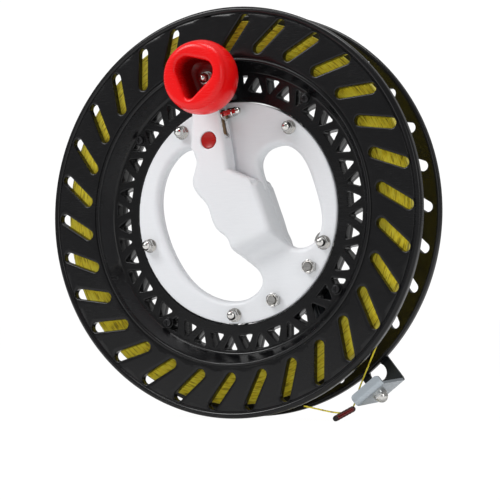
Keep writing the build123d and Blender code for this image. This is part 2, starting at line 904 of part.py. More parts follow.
# ---------------------------------------------------------------- free line and its leader

free_line_radius = 0.5
line_route = (
    (112.0, -7.0, -48.0),
    (85.3, 0.0, -101.0),
    (80.6, -1.2, -113.6),
    (79.0, -5.4, -124.8),
    (69.9, -7.0, -125.4),
    (59.6, -10.5, -123.3),
    (50.5, -14.5, -121.0),
)


def cord_radii(route):
    """The largest arc at each corner: 0.45 of the shorter run, over the tangent of half the turn."""
    radii = []
    for before, corner, after in zip(route, route[1:], route[2:]):
        first = Vector(corner) - Vector(before)
        second = Vector(after) - Vector(corner)
        turn = radians(first.get_angle(second))
        radii.append(0.45 * min(first.length, second.length) / tan(turn / 2))
    return radii


line_radii = cord_radii(line_route)
with BuildPart() as line_run:
    with BuildLine() as line_path:
        FilletPolyline(*line_route, radius=line_radii)
    line_wire = line_path.wires()[0]
    with BuildSketch(Plane(origin=line_wire @ 0, z_dir=line_wire % 0)):
        Circle(free_line_radius)
    sweep(path=line_wire)
keep(line_run, "line_run")
print("line radii", [round(radius, 1) for radius in line_radii])
print(
    "line length",
    round(line_wire.length, 1),
    "volume over section times length",
    round(line_run.part.volume / (pi * free_line_radius**2 * line_wire.length), 3),
)

leader_right = Vector(81.8, -7.0, -121.7)
leader_left = Vector(67.3, -7.0, -129.4)
leader_length = (leader_right - leader_left).length
leader_plane = Plane(
    origin=(leader_right + leader_left) * 0.5,
    x_dir=leader_right - leader_left,
    z_dir=(0.124, -0.965, -0.232),
)
leader_cord = 0.8
leader_half_width = 1.2
with BuildPart() as leader_loop:
    with BuildLine(leader_plane) as leader_path:
        half_run = leader_length / 2 - leader_half_width - leader_cord
        Line((-half_run, leader_half_width), (half_run, leader_half_width))
        ThreePointArc(
            (half_run, leader_half_width),
            (half_run + leader_half_width, 0),
            (half_run, -leader_half_width),
        )
        Line((half_run, -leader_half_width), (-half_run, -leader_half_width))
        ThreePointArc(
            (-half_run, -leader_half_width),
            (-half_run - leader_half_width, 0),
            (-half_run, leader_half_width),
        )
    leader_wire = leader_path.wires()[0]
    with BuildSketch(Plane(origin=leader_wire @ 0, z_dir=leader_wire % 0)):
        Circle(leader_cord)
    sweep(path=leader_wire)
    with Locations(leader_plane.offset(0)):
        with Locations((-half_run, 0, 0)):
            Sphere(2.1)
keep(leader_loop, "leader_loop")
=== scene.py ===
import bpy
import bmesh
from math import acos, asin, atan2, cos, hypot, pi, radians, sin, sqrt
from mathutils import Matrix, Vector
from mathutils.kdtree import KDTree


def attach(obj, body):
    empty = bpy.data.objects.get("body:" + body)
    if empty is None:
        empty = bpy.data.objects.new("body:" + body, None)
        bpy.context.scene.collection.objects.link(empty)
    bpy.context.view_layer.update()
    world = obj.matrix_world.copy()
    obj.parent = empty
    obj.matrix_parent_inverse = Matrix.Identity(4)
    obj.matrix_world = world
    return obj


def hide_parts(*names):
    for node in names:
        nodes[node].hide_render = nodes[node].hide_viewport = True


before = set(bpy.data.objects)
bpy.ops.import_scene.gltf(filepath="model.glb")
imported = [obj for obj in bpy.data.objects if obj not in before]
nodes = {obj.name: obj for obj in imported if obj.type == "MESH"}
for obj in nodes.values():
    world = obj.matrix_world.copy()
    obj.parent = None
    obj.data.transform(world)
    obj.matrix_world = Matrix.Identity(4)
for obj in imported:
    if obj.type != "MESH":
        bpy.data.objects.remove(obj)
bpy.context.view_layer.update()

mm = 0.001
print("frame loaded:", len(nodes), "nodes")



def linked(name, data):
    # a new object, already in the scene
    thing = bpy.data.objects.new(name, data)
    bpy.context.scene.collection.objects.link(thing)
    return thing


def evaluated(carrier):
    # the plain mesh that an object's modifiers make
    depsgraph = bpy.context.evaluated_depsgraph_get()
    return bpy.data.meshes.new_from_object(carrier.evaluated_get(depsgraph))


# camera, lights and floor

cameraSetup = {
    "place": (0.53005, -1.0378, -0.0659),
    "target": (0.012, -0.012, -0.024),
    "lens": 131.45,
    "sensor": 36,
    "nearest": 0.01,
}
cameraData = bpy.data.cameras.new("photoCamera")
cameraData.lens = cameraSetup["lens"]
cameraData.sensor_width = cameraSetup["sensor"]
cameraData.clip_start = cameraSetup["nearest"]
camera = linked("photoCamera", cameraData)
camera.location = cameraSetup["place"]
sight = Vector(cameraSetup["target"]) - Vector(cameraSetup["place"])
camera.rotation_euler = sight.to_track_quat("-Z", "Y").to_euler()
bpy.context.scene.camera = camera

softBoxes = {
    "keyBox": {"place": (-0.75, -0.85, 0.95), "size": (0.6, 0.6), "watts": 11},
    "fillBox": {"place": (1.15, -0.75, 0.35), "size": (0.5, 0.8), "watts": 2.6},
    "topBox": {"place": (0.1, -0.1, 1.15), "size": (0.9, 0.4), "watts": 7},
}
for name, values in softBoxes.items():
    lampData = bpy.data.lights.new(name, "AREA")
    lampData.shape = "RECTANGLE"
    lampData.size, lampData.size_y = values["size"]
    lampData.energy = values["watts"]
    lamp = linked(name, lampData)
    lamp.location = values["place"]
    lamp.rotation_euler = (-Vector(values["place"])).to_track_quat("-Z", "Y").to_euler()

studio = {
    "sky": (1.0, 1.0, 1.0),
    "skyStrength": 0.32,
    "backing": 1.05,
    "floorHeight": -0.1305,
    "floorReach": 30,
    "floorColour": (0.9, 0.9, 0.9),
    "floorRough": 0.9,
    "floorGlow": 0.1,
    "floorPale": 0.93,
}


def addNode(tree, kind, inputs=(), **settings):
    # a node with its settings and the fixed values of some of its inputs
    node = tree.nodes.new(kind)
    for setting, value in settings.items():
        setattr(node, setting, value)
    for socket, value in dict(inputs).items():
        node.inputs[socket].default_value = value
    return node


def connect(tree, *links):
    for source, output, target, entry in links:
        tree.links.new(source.outputs[output], target.inputs[entry])


def mapRange(tree, low, high):
    return addNode(tree, "ShaderNodeMapRange", {"From Min": low, "From Max": high})


def colourMix(tree, first, second):
    colours = {"A": (*first, 1), "B": (*second, 1)}
    return addNode(tree, "ShaderNodeMix", colours, data_type="RGBA")


# the camera sees a white backing that lights nothing

world = bpy.data.worlds.new("studioSky")
world.use_nodes = True
skyTree = world.node_tree
sky = skyTree.nodes["Background"]
sky.inputs["Color"].default_value = (*studio["sky"], 1)
sky.inputs["Strength"].default_value = studio["skyStrength"]
backing = addNode(
    skyTree,
    "ShaderNodeBackground",
    {"Color": (*studio["sky"], 1), "Strength": studio["backing"]},
)
rays = addNode(skyTree, "ShaderNodeLightPath")
choice = addNode(skyTree, "ShaderNodeMixShader")
connect(
    skyTree,
    (rays, "Is Camera Ray", choice, "Fac"),
    (sky, 0, choice, 1),
    (backing, 0, choice, 2),
    (choice, 0, skyTree.nodes["World Output"], "Surface"),
)
bpy.context.scene.world = world
bpy.context.scene.view_settings.view_transform = "Standard"

floorMesh = bpy.data.meshes.new("floor")
low, far = studio["floorHeight"], studio["floorReach"]
floorMesh.from_pydata(
    [(-far, -far, low), (far, -far, low), (far, far, low), (-far, far, low)],
    [],
    [(0, 1, 2, 3)],
)
linked("floor", floorMesh)
print("camera, lights and floor placed")

# groups that several finishes share


def groupSockets(tree, inputs, outputs=()):
    # plain numbers, each input with the value it starts with
    for name, value in inputs.items():
        kind = "NodeSocketInt" if isinstance(value, int) else "NodeSocketFloat"
        socket = tree.interface.new_socket(name=name, in_out="INPUT", socket_type=kind)
        socket.default_value = value
    for name in outputs:
        tree.interface.new_socket(name=name, in_out="OUTPUT", socket_type="NodeSocketFloat")


def fineGrainGroup():
    tree = bpy.data.node_groups.new("fineGrain", "ShaderNodeTree")
    groupSockets(tree, {"Scale": 600.0, "Amount": 0.1}, ["Height"])
    start = addNode(tree, "NodeGroupInput")
    end = addNode(tree, "NodeGroupOutput")
    place = addNode(tree, "ShaderNodeTexCoord")
    noise = addNode(tree, "ShaderNodeTexNoise", {"Detail": 3})
    scaled = addNode(tree, "ShaderNodeMath", operation="MULTIPLY")
    connect(
        tree,
        (place, "Object", noise, "Vector"),
        (start, "Scale", noise, "Scale"),
        (noise, "Fac", scaled, 0),
        (start, "Amount", scaled, 1),
        (scaled, 0, end, "Height"),
    )
    return tree


marksLook = {
    "smudgeScale": 22.0,
    "smudgeDetail": 6,
    "smudgeRough": 0.6,
    "rubScale": 160,
    "rubDetail": 4,
    "rubStretch": (1.0, 1.0, 9.0),
    "spread": (0.15, 0.4),
}


def handlingGroup():
    # faint smudges and hair-fine rub marks from handling
    look = marksLook
    tree = bpy.data.node_groups.new("handlingMarks", "ShaderNodeTree")
    inputs = {"Low": 0.2, "High": 0.3, "Scale": look["smudgeScale"]}
    groupSockets(tree, inputs, ["Roughness", "Mask"])
    start = addNode(tree, "NodeGroupInput")
    end = addNode(tree, "NodeGroupOutput")
    place = addNode(tree, "ShaderNodeTexCoord")
    smudge = addNode(
        tree,
        "ShaderNodeTexNoise",
        {"Detail": look["smudgeDetail"], "Roughness": look["smudgeRough"]},
    )
    stretch = addNode(tree, "ShaderNodeMapping", {"Scale": look["rubStretch"]})
    rub = addNode(
        tree, "ShaderNodeTexNoise", {"Scale": look["rubScale"], "Detail": look["rubDetail"]}
    )
    both = addNode(tree, "ShaderNodeMath", operation="MULTIPLY")
    spread = mapRange(tree, *look["spread"])
    connect(
        tree,
        (place, "Object", smudge, "Vector"),
        (start, "Scale", smudge, "Scale"),
        (place, "Object", stretch, "Vector"),
        (stretch, "Vector", rub, "Vector"),
        (smudge, "Fac", both, 0),
        (rub, "Fac", both, 1),
        (both, 0, spread, "Value"),
        (start, "Low", spread, "To Min"),
        (start, "High", spread, "To Max"),
        (spread, "Result", end, "Roughness"),
        (both, 0, end, "Mask"),
    )
    return tree


fineGrain = fineGrainGroup()
handlingMarks = handlingGroup()

finishes = {
    "glossBlack": {
        "colour": (0.004, 0.004, 0.0045),
        "second": (0.008, 0.008, 0.009),
        "rough": (0.17, 0.3),
        "grain": (900, 0.05),
        "specular": 0.3,
    },
    "satinWhite": {
        "colour": (0.8, 0.815, 0.84),
        "second": (0.7, 0.715, 0.745),
        "rough": (0.34, 0.46),
        "grain": (1500, 0.08),
        "specular": 0.45,
    },
    "glossRed": {
        "colour": (0.86, 0.005, 0.006),
        "second": (0.76, 0.004, 0.005),
        "rough": (0.2, 0.3),
        "grain": (500, 0.03),
        "specular": 0.3,
    },
    "dullRed": {
        "colour": (0.38, 0.006, 0.004),
        "second": (0.28, 0.005, 0.004),
        "rough": (0.25, 0.4),
        "grain": (900, 0.05),
        "specular": 0.3,
    },
    "brightNickel": {
        "colour": (0.7, 0.69, 0.67),
        "second": (0.5, 0.49, 0.47),
        "rough": (0.1, 0.24),
        "grain": (1200, 0.03),
        "metal": 1.0,
    },
    "zincPlate": {
        "colour": (0.46, 0.51, 0.55),
        "second": (0.34, 0.38, 0.42),
        "rough": (0.28, 0.42),
        "grain": (700, 0.08),
        "metal": 1.0,
    },
    "darkSteel": {
        "colour": (0.035, 0.035, 0.037),
        "second": (0.06, 0.06, 0.062),
        "rough": (0.35, 0.5),
        "grain": (900, 0.05),
        "metal": 1.0,
    },
    "brownBar": {
        "colour": (0.36, 0.23, 0.11),
        "second": (0.2, 0.12, 0.06),
        "rough": (0.28, 0.45),
        "grain": (900, 0.08),
        "metal": 1.0,
    },
}


grainBump = {"Strength": 0.5, "Distance": 0.0002}


def newMaterial(name):
    material = bpy.data.materials.new(name)
    material.use_nodes = True
    tree = material.node_tree
    return material, tree, tree.nodes["Principled BSDF"]


def addGrain(tree, shader, scale, amount):
    grain = addNode(
        tree, "ShaderNodeGroup", {"Scale": scale, "Amount": amount}, node_tree=fineGrain
    )
    bump = addNode(tree, "ShaderNodeBump", grainBump)
    connect(tree, (grain, "Height", bump, "Height"), (bump, "Normal", shader, "Normal"))


def plainFinish(name):
    values = finishes[name]
    material, tree, shader = newMaterial(name)
    low, high = values["rough"]
    marks = addNode(
        tree, "ShaderNodeGroup", {"Low": low, "High": high}, node_tree=handlingMarks
    )
    tint = colourMix(tree, values["colour"], values["second"])
    connect(
        tree,
        (marks, "Mask", tint, "Factor"),
        (tint, "Result", shader, "Base Color"),
        (marks, "Roughness", shader, "Roughness"),
    )
    addGrain(tree, shader, *values["grain"])
    shader.inputs["Metallic"].default_value = values.get("metal", 0.0)
    shader.inputs["Specular IOR Level"].default_value = values.get("specular", 0.5)
    return material


glossBlack, satinWhite, glossRed, dullRed, brightNickel, zincPlate, darkSteel, brownBar = (
    plainFinish(name) for name in finishes
)

yellowLook = {
    "stops": (0.34, 0.46, 0.62),
    "colours": ((0.36, 0.27, 0.0), (0.92, 0.75, 0.012), (1.0, 0.9, 0.08)),
    "pitch": 0.9,
    "roundShare": 0.012,
    "detail": 2,
    "rough": 0.5,
    "sheen": 0.2,
    "grain": (2600, 0.6),
}


def threadFinish(name, look):
    # streaks of shade that run round with the turns, on a soft fibrous surface
    material, tree, shader = newMaterial(name)
    place = addNode(tree, "ShaderNodeTexCoord")
    parts = addNode(tree, "ShaderNodeSeparateXYZ")
    flat = addNode(tree, "ShaderNodeCombineXYZ")
    reach = addNode(tree, "ShaderNodeVectorMath", operation="LENGTH")
    angle = addNode(tree, "ShaderNodeMath", operation="ARCTAN2")
    slow = addNode(tree, "ShaderNodeMath", {1: look["roundShare"]}, operation="MULTIPLY")
    streak = addNode(tree, "ShaderNodeCombineXYZ")
    strands = addNode(
        tree,
        "ShaderNodeTexNoise",
        {"Scale": 1 / (look["pitch"] * mm), "Detail": look["detail"]},
    )
    ramp = addNode(tree, "ShaderNodeValToRGB")
    stops = ramp.color_ramp.elements
    stops.new(look["stops"][1])
    for stop, position, colour in zip(stops, look["stops"], look["colours"]):
        stop.position = position
        stop.color = (*colour, 1)
    connect(
        tree,
        (place, "Object", parts, 0),
        (parts, "X", flat, "X"),
        (parts, "Z", flat, "Z"),
        (flat, 0, reach, 0),
        (parts, "Z", angle, 0),
        (parts, "X", angle, 1),
        (angle, 0, slow, 0),
        (reach, "Value", streak, "X"),
        (parts, "Y", streak, "Y"),
        (slow, 0, streak, "Z"),
        (streak, 0, strands, "Vector"),
        (strands, "Fac", ramp, "Fac"),
        (ramp, "Color", shader, "Base Color"),
    )
    addGrain(tree, shader, *look["grain"])
    shader.inputs["Roughness"].default_value = look["rough"]
    shader.inputs["Sheen Weight"].default_value = look["sheen"]
    return material


yellowThread = threadFinish("yellowThread", yellowLook)

waxLook = {
    "outside": (0.012, 0.006, 0.006),
    "inside": (0.2, 0.003, 0.003),
    "rough": 0.42,
    "grain": (2600, 0.6),
}


def leaderFinish():
    # waxed cord, nearly black outside and dark red towards the middle of the loop
    material, tree, shader = newMaterial("darkThread")
    inside = addNode(tree, "ShaderNodeAttribute", attribute_name="inside")
    tint = colourMix(tree, waxLook["outside"], waxLook["inside"])
    connect(tree, (inside, "Fac", tint, "Factor"), (tint, "Result", shader, "Base Color"))
    addGrain(tree, shader, *waxLook["grain"])
    shader.inputs["Roughness"].default_value = waxLook["rough"]
    return material


darkThread = leaderFinish()


def darkenedCopy(source, name, colour):
    # a finish that turns to another colour wherever the last node's factor is 1, used for painted
    # shade in the knob's hollow and a painted dark reflection on the guide's arm
    material = source.copy()
    material.name = name
    tree = material.node_tree
    shader = tree.nodes["Principled BSDF"]
    tint = shader.inputs["Base Color"].links[0].from_node
    place = addNode(tree, "ShaderNodeTexCoord")
    parts = addNode(tree, "ShaderNodeSeparateXYZ")
    dark = colourMix(tree, colour, colour)
    connect(
        tree,
        (place, "Object", parts, 0),
        (tint, "Result", dark, "A"),
        (dark, "Result", shader, "Base Color"),
    )
    return material, tree, place, parts, dark


# painted dark reflection on the guide's arm: its colour, and where along Y it fades in
paintedArmReflection = {"colour": (0.045, 0.05, 0.052), "fade": (19.3, 20.6)}


def bracketFinish():
    # bright zinc on the crosspiece, and along the arm the same plate darkened by a painted dark
    # reflection
    material, tree, _, parts, dark = darkenedCopy(zincPlate, "guidePlate", paintedArmReflection["colour"])
    along = mapRange(tree, *(y * mm for y in paintedArmReflection["fade"]))
    connect(tree, (parts, "Y", along, "Value"), (along, "Result", dark, "Factor"))
    return material


guidePlate = bracketFinish()

# the floor, lit as usual but nearly all white paper to the camera

paleFloor, floorTree, floorShader = newMaterial("paleFloor")
floorShader.inputs["Base Color"].default_value = (*studio["floorColour"], 1)
floorShader.inputs["Roughness"].default_value = studio["floorRough"]
floorShader.inputs["Emission Color"].default_value = (1, 1, 1, 1)
floorShader.inputs["Emission Strength"].default_value = studio["floorGlow"]
paleSheet = addNode(floorTree, "ShaderNodeEmission", {"Strength": studio["backing"]})
floorRays = addNode(floorTree, "ShaderNodeLightPath")
paleShare = addNode(
    floorTree, "ShaderNodeMath", {1: studio["floorPale"]}, operation="MULTIPLY"
)
floorMix = addNode(floorTree, "ShaderNodeMixShader")
connect(
    floorTree,
    (floorRays, "Is Camera Ray", paleShare, 0),
    (paleShare, 0, floorMix, "Fac"),
    (floorShader, 0, floorMix, 1),
    (paleSheet, 0, floorMix, 2),
    (floorMix, 0, floorTree.nodes["Material Output"], "Surface"),
)
floorMesh.materials.append(paleFloor)
print("finishes made")

# helpers for meshes


def addPiece(name, mesh, material, body, replaced=()):
    piece = linked(name, mesh)
    if material is not None:
        mesh.materials.clear()
        mesh.materials.append(material)
    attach(piece, body)
    if replaced:
        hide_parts(*replaced)
    return piece


def smoothMesh(mesh, angle=35):
    mesh.shade_smooth()
    mesh.set_sharp_from_angle(angle=radians(angle))
    return mesh


def loopMesh(name, loops, capFirst=False, capLast=False, ringed=False):
    # joins loops of equally many points, given in millimetres, with strips of quads
    count = len(loops[0])
    points = [tuple(c * mm for c in point) for loop in loops for point in loop]
    faces = []
    for row in range(len(loops) - (0 if ringed else 1)):
        after = (row + 1) % len(loops)
        for i in range(count):
            j = (i + 1) % count
            faces.append(
                (row * count + i, row * count + j, after * count + j, after * count + i)
            )
    if capFirst:
        faces.append(tuple(range(count - 1, -1, -1)))
    if capLast:
        base = (len(loops) - 1) * count
        faces.append(tuple(base + i for i in range(count)))
    mesh = bpy.data.meshes.new(name)
    mesh.from_pydata(points, [], faces)
    return mesh


def joinMeshes(name, meshes, weld=0.01):
    form = bmesh.new()
    for mesh in meshes:
        form.from_mesh(mesh)
    bmesh.ops.remove_doubles(form, verts=form.verts, dist=weld * mm)
    bmesh.ops.recalc_face_normals(form, faces=form.faces)
    joined = bpy.data.meshes.new(name)
    form.to_mesh(joined)
    form.free()
    return joined


def onFlat(radius, angle):
    return (radius * cos(radians(angle)), radius * sin(radians(angle)))


def onCircle(radius, angle, y):
    x, z = onFlat(radius, angle)
    return (x, y, z)


def turned(point, angle):
    c, s = cos(radians(angle)), sin(radians(angle))
    return (point[0] * c - point[1] * s, point[0] * s + point[1] * c)


def arcPoints(start, middle, end, steps):
    # the points of the arc through three points of a flat profile, after its start
    ax, ay = start
    bx, by = middle
    cx, cy = end
    d = 2 * (ax * (by - cy) + bx * (cy - ay) + cx * (ay - by))
    a2, b2, c2 = ax * ax + ay * ay, bx * bx + by * by, cx * cx + cy * cy
    ox = (a2 * (by - cy) + b2 * (cy - ay) + c2 * (ay - by)) / d
    oy = (a2 * (cx - bx) + b2 * (ax - cx) + c2 * (bx - ax)) / d
    radius = hypot(ax - ox, ay - oy)
    first, halfway, last = (atan2(q - oy, p - ox) for p, q in (start, middle, end))
    turn = (last - first) % (2 * pi)
    if (halfway - first) % (2 * pi) > turn:
        turn -= 2 * pi
    return [
        (
            ox + radius * cos(first + turn * k / steps),
            oy + radius * sin(first + turn * k / steps),
        )
        for k in range(1, steps + 1)
    ]


def profilePath(start, *moves):
    # a flat profile from points and arcs, each arc as its middle, its end and its steps
    path = [start]
    for move in moves:
        path += arcPoints(path[-1], *move) if len(move) == 3 else [move]
    return path


def revolved(name, profile, segments=360, closedProfile=False):
    loops = [
        [onCircle(r, 360 * k / segments, y) for k in range(segments)] for r, y in profile
    ]
    return loopMesh(name, loops, ringed=closedProfile)


def roundedRing(corners, radii, steps):
    # the outline round three circles, each with a radius of its own
    ring = []
    for i in range(3):
        here, before, after = corners[i], corners[i - 1], corners[(i + 1) % 3]
        gapIn = hypot(here[0] - before[0], here[1] - before[1])
        gapOut = hypot(after[0] - here[0], after[1] - here[1])
        tiltIn = asin((radii[i] - radii[i - 1]) / gapIn)
        tiltOut = asin((radii[(i + 1) % 3] - radii[i]) / gapOut)
        first = atan2(here[1] - before[1], here[0] - before[0]) - pi / 2 - tiltIn
        last = atan2(after[1] - here[1], after[0] - here[0]) - pi / 2 - tiltOut
        turn = (last - first) % (2 * pi)
        for k in range(steps + 1):
            a = first + turn * k / steps
            ring.append((here[0] + radii[i] * cos(a), here[1] + radii[i] * sin(a)))
    return ring


def alongRays(ring, centre, directions):
    # where the rays from the centre cross the outline
    cx, cz = centre
    points = []
    for dx, dz in directions:
        for i in range(len(ring)):
            px, pz = ring[i - 1][0] - cx, ring[i - 1][1] - cz
            qx, qz = ring[i][0] - cx, ring[i][1] - cz
            sideP, sideQ = dx * pz - dz * px, dx * qz - dz * qx
            if sideP <= 0 < sideQ and dx * (px + qx) + dz * (pz + qz) > 0:
                share = -sideP / (sideQ - sideP)
                points.append((cx + px + (qx - px) * share, cz + pz + (qz - pz) * share))
                break
    return points


# Geometry Nodes: the common frame, a cell repeated about the axis, and how a tree is run


def geometryTree(name, values):
    # a tree with its inputs, whose last steps make all instances real and paint them
    tree = bpy.data.node_groups.new(name, "GeometryNodeTree")
    face = tree.interface
    face.new_socket(name="Geometry", in_out="INPUT", socket_type="NodeSocketGeometry")
    groupSockets(tree, values)
    face.new_socket(name="Material", in_out="INPUT", socket_type="NodeSocketMaterial")
    face.new_socket(name="Geometry", in_out="OUTPUT", socket_type="NodeSocketGeometry")
    start = addNode(tree, "NodeGroupInput")
    end = addNode(tree, "NodeGroupOutput")
    real = addNode(tree, "GeometryNodeRealizeInstances")
    paint = addNode(tree, "GeometryNodeSetMaterial")
    connect(
        tree,
        (real, 0, paint, "Geometry"),
        (start, "Material", paint, "Material"),
        (paint, 0, end, 0),
    )
    return tree, start, real


def aroundAxisTree():
    inputs = {"Count": 30, "First Angle": 0.0, "Step Angle": 12.0, "Blank Place": -1}
    tree, start, finished = geometryTree("repeatAroundAxis", inputs)
    spots = addNode(tree, "GeometryNodePoints")
    index = addNode(tree, "GeometryNodeInputIndex")
    isBlank = addNode(tree, "FunctionNodeCompare", data_type="INT", operation="EQUAL")
    drop = addNode(tree, "GeometryNodeDeleteGeometry", domain="INSTANCE")
    turn = addNode(tree, "ShaderNodeMath", operation="MULTIPLY_ADD")
    toRadians = addNode(tree, "ShaderNodeMath", operation="RADIANS")
    reverse = addNode(tree, "ShaderNodeMath", {1: -1.0}, operation="MULTIPLY")
    rotation = addNode(tree, "ShaderNodeCombineXYZ")
    put = addNode(tree, "GeometryNodeInstanceOnPoints")
    connect(
        tree,
        (start, "Count", spots, "Count"),
        (index, 0, isBlank, 2),
        (start, "Blank Place", isBlank, 3),
        (spots, 0, put, "Points"),
        (index, 0, turn, 0),
        (start, "Step Angle", turn, 1),
        (start, "First Angle", turn, 2),
        (turn, 0, toRadians, 0),
        (toRadians, 0, reverse, 0),
        (reverse, 0, rotation, "Y"),
        (rotation, 0, put, "Rotation"),
        (start, "Geometry", put, "Instance"),
        (isBlank, 0, drop, "Selection"),
        (put, 0, drop, "Geometry"),
        (drop, 0, finished, 0),
    )
    return tree


def grown(name, mesh, tree, values):
    # runs a Geometry Nodes tree over a mesh and gives back the plain mesh it makes
    carrier = linked(name, mesh)
    modifier = carrier.modifiers.new(name, "NODES")
    modifier.node_group = tree
    for item in tree.interface.items_tree:
        if item.in_out == "INPUT" and item.name in values:
            modifier[item.identifier] = values[item.name]
    result = evaluated(carrier)
    bpy.data.objects.remove(carrier)
    return result


aroundAxis = aroundAxisTree()
print("helpers ready")

# the reel: two slotted flanges with their drum walls and webs

reelLook = {
    "rimRadius": 130.0,
    "halfWidth": 19.0,
    "face": 18.5,
    "groove": 17.9,
    "inner": 13.0,
    "slotZone": (98.6, 125.2),
    "slotMiddle": 112.9,
    "slotLean": -34.5,
    "slotLength": 27.6,
    "slotWidth": 6.6,
    "slotEdge": 0.95,
    "firstSlot": 4.0,
    "blankSlot": 8,
    "slotSteps": 12,
    "slotShift": -0.8,
    "slotCount": 30,
    "webZone": (75.9, 88.9),
    "webJoint": -1.05,
    "webFaces": {-1: -8.1, 1: 3.0},
    "drumInner": 93.0,
    "coneFoot": 89.6,
    "trussInner": 77.6,
    "trussOuter": 87.5,
    "trussUp": 3.9,
    "trussDown": 3.3,
    "trussCorner": 0.8,
    "trussEdge": 0.5,
    "trussCount": 24,
    "screwCircle": 85.5,
    "screwAngles": (55, 145, 235, 325),
    "screwBoss": 3.7,
}


def roundedHole(outline, boundary, front, back, edge):
    # strips from the face, over a rounded edge, through a hole and out to the other face
    depthSign = 1 if back > front else -1
    backEdge = 0.6 * edge
    steps = 4

    def between(amount, base, y):
        return [
            (b[0] + (o[0] - b[0]) * amount, y, b[1] + (o[1] - b[1]) * amount)
            for b, o in zip(boundary, base)
        ]

    def through(grow, y):
        return [(x, y, z) for x, z in outline(grow)]

    turns = [pi / 2 * k / steps for k in range(steps + 1)]
    loops = [between(amount, outline(edge), front) for amount in (0.0, 0.4, 0.75)]
    for turn in turns:
        loops.append(through(edge * (1 - sin(turn)), front + depthSign * edge * (1 - cos(turn))))
    for turn in turns:
        y = back - depthSign * backEdge * (1 - sin(turn))
        loops.append(through(backEdge * (1 - cos(turn)), y))
    loops += [between(amount, outline(backEdge), back) for amount in (0.6, 0.0)]
    return loops


def slotOutline(grow):
    # the slanted slot, matched point for point to its cell's four sides
    look = reelLook
    lean, shift, steps = look["slotLean"], look["slotShift"], look["slotSteps"]
    radius = look["slotWidth"] / 2 + grow
    x, z = onFlat((look["slotLength"] - look["slotWidth"]) / 2, lean)
    inner = (look["slotMiddle"] - x, shift - z)
    outer = (look["slotMiddle"] + x, shift + z)
    points = []
    for centre, other, start in ((inner, outer, lean + 90), (outer, inner, lean - 90)):
        for k in range(steps):
            dx, dz = onFlat(radius, start + 180 * k / steps)
            points.append((centre[0] + dx, centre[1] + dz))
        dx, dz = onFlat(radius, start + 180)
        for k in range(steps):
            share = k / steps
            points.append(
                (
                    centre[0] + dx + (other[0] - centre[0]) * share,
                    centre[1] + dz + (other[1] - centre[1]) * share,
                )
            )
    return points


def cellBoundary(innerRadius, outerRadius, innerSpan, outerSpan, sideSteps):
    # the cell's outline, whole degrees on both circles so that neighbours meet
    points = [onFlat(innerRadius, a) for a in range(innerSpan[1], innerSpan[0], -1)]
    sides = (
        ((innerRadius, innerSpan[0]), (outerRadius, outerSpan[0])),
        ((outerRadius, outerSpan[1]), (innerRadius, innerSpan[1])),
    )
    for first, last in sides:
        for k in range(sideSteps):
            radius, angle = (p + (q - p) * k / sideSteps for p, q in zip(first, last))
            points.append(onFlat(radius, angle))
        if first == sides[0][0]:
            points += [onFlat(outerRadius, a) for a in range(*outerSpan)]
    return points


def triangleOutline(corners, cornerRadius, boundary):
    # a rounded triangle, sampled along rays from its middle to the cell's own points
    cx = sum(c[0] for c in corners) / 3
    cz = sum(c[1] for c in corners) / 3
    directions = [(x - cx, z - cz) for x, z in boundary]
    core = []
    for i in range(3):
        here, before, after = (Vector(corners[j % 3]) for j in (i, i - 1, i + 1))
        toA, toB = (before - here).normalized(), (after - here).normalized()
        half = acos(max(-1, min(1, toA.dot(toB)))) / 2
        core.append(tuple(here + (toA + toB).normalized() * (cornerRadius / sin(half))))

    def outline(grow):
        ring = roundedRing(core, [cornerRadius + grow] * 3, 12)
        return alongRays(ring, (cx, cz), directions)

    return outline


def repeated(name, cell, count, first, blank=-1):
    values = {"Count": count, "Step Angle": 360.0 / count, "First Angle": first}
    values["Blank Place"] = blank
    values["Material"] = glossBlack
    return grown(name, cell, aroundAxis, values)


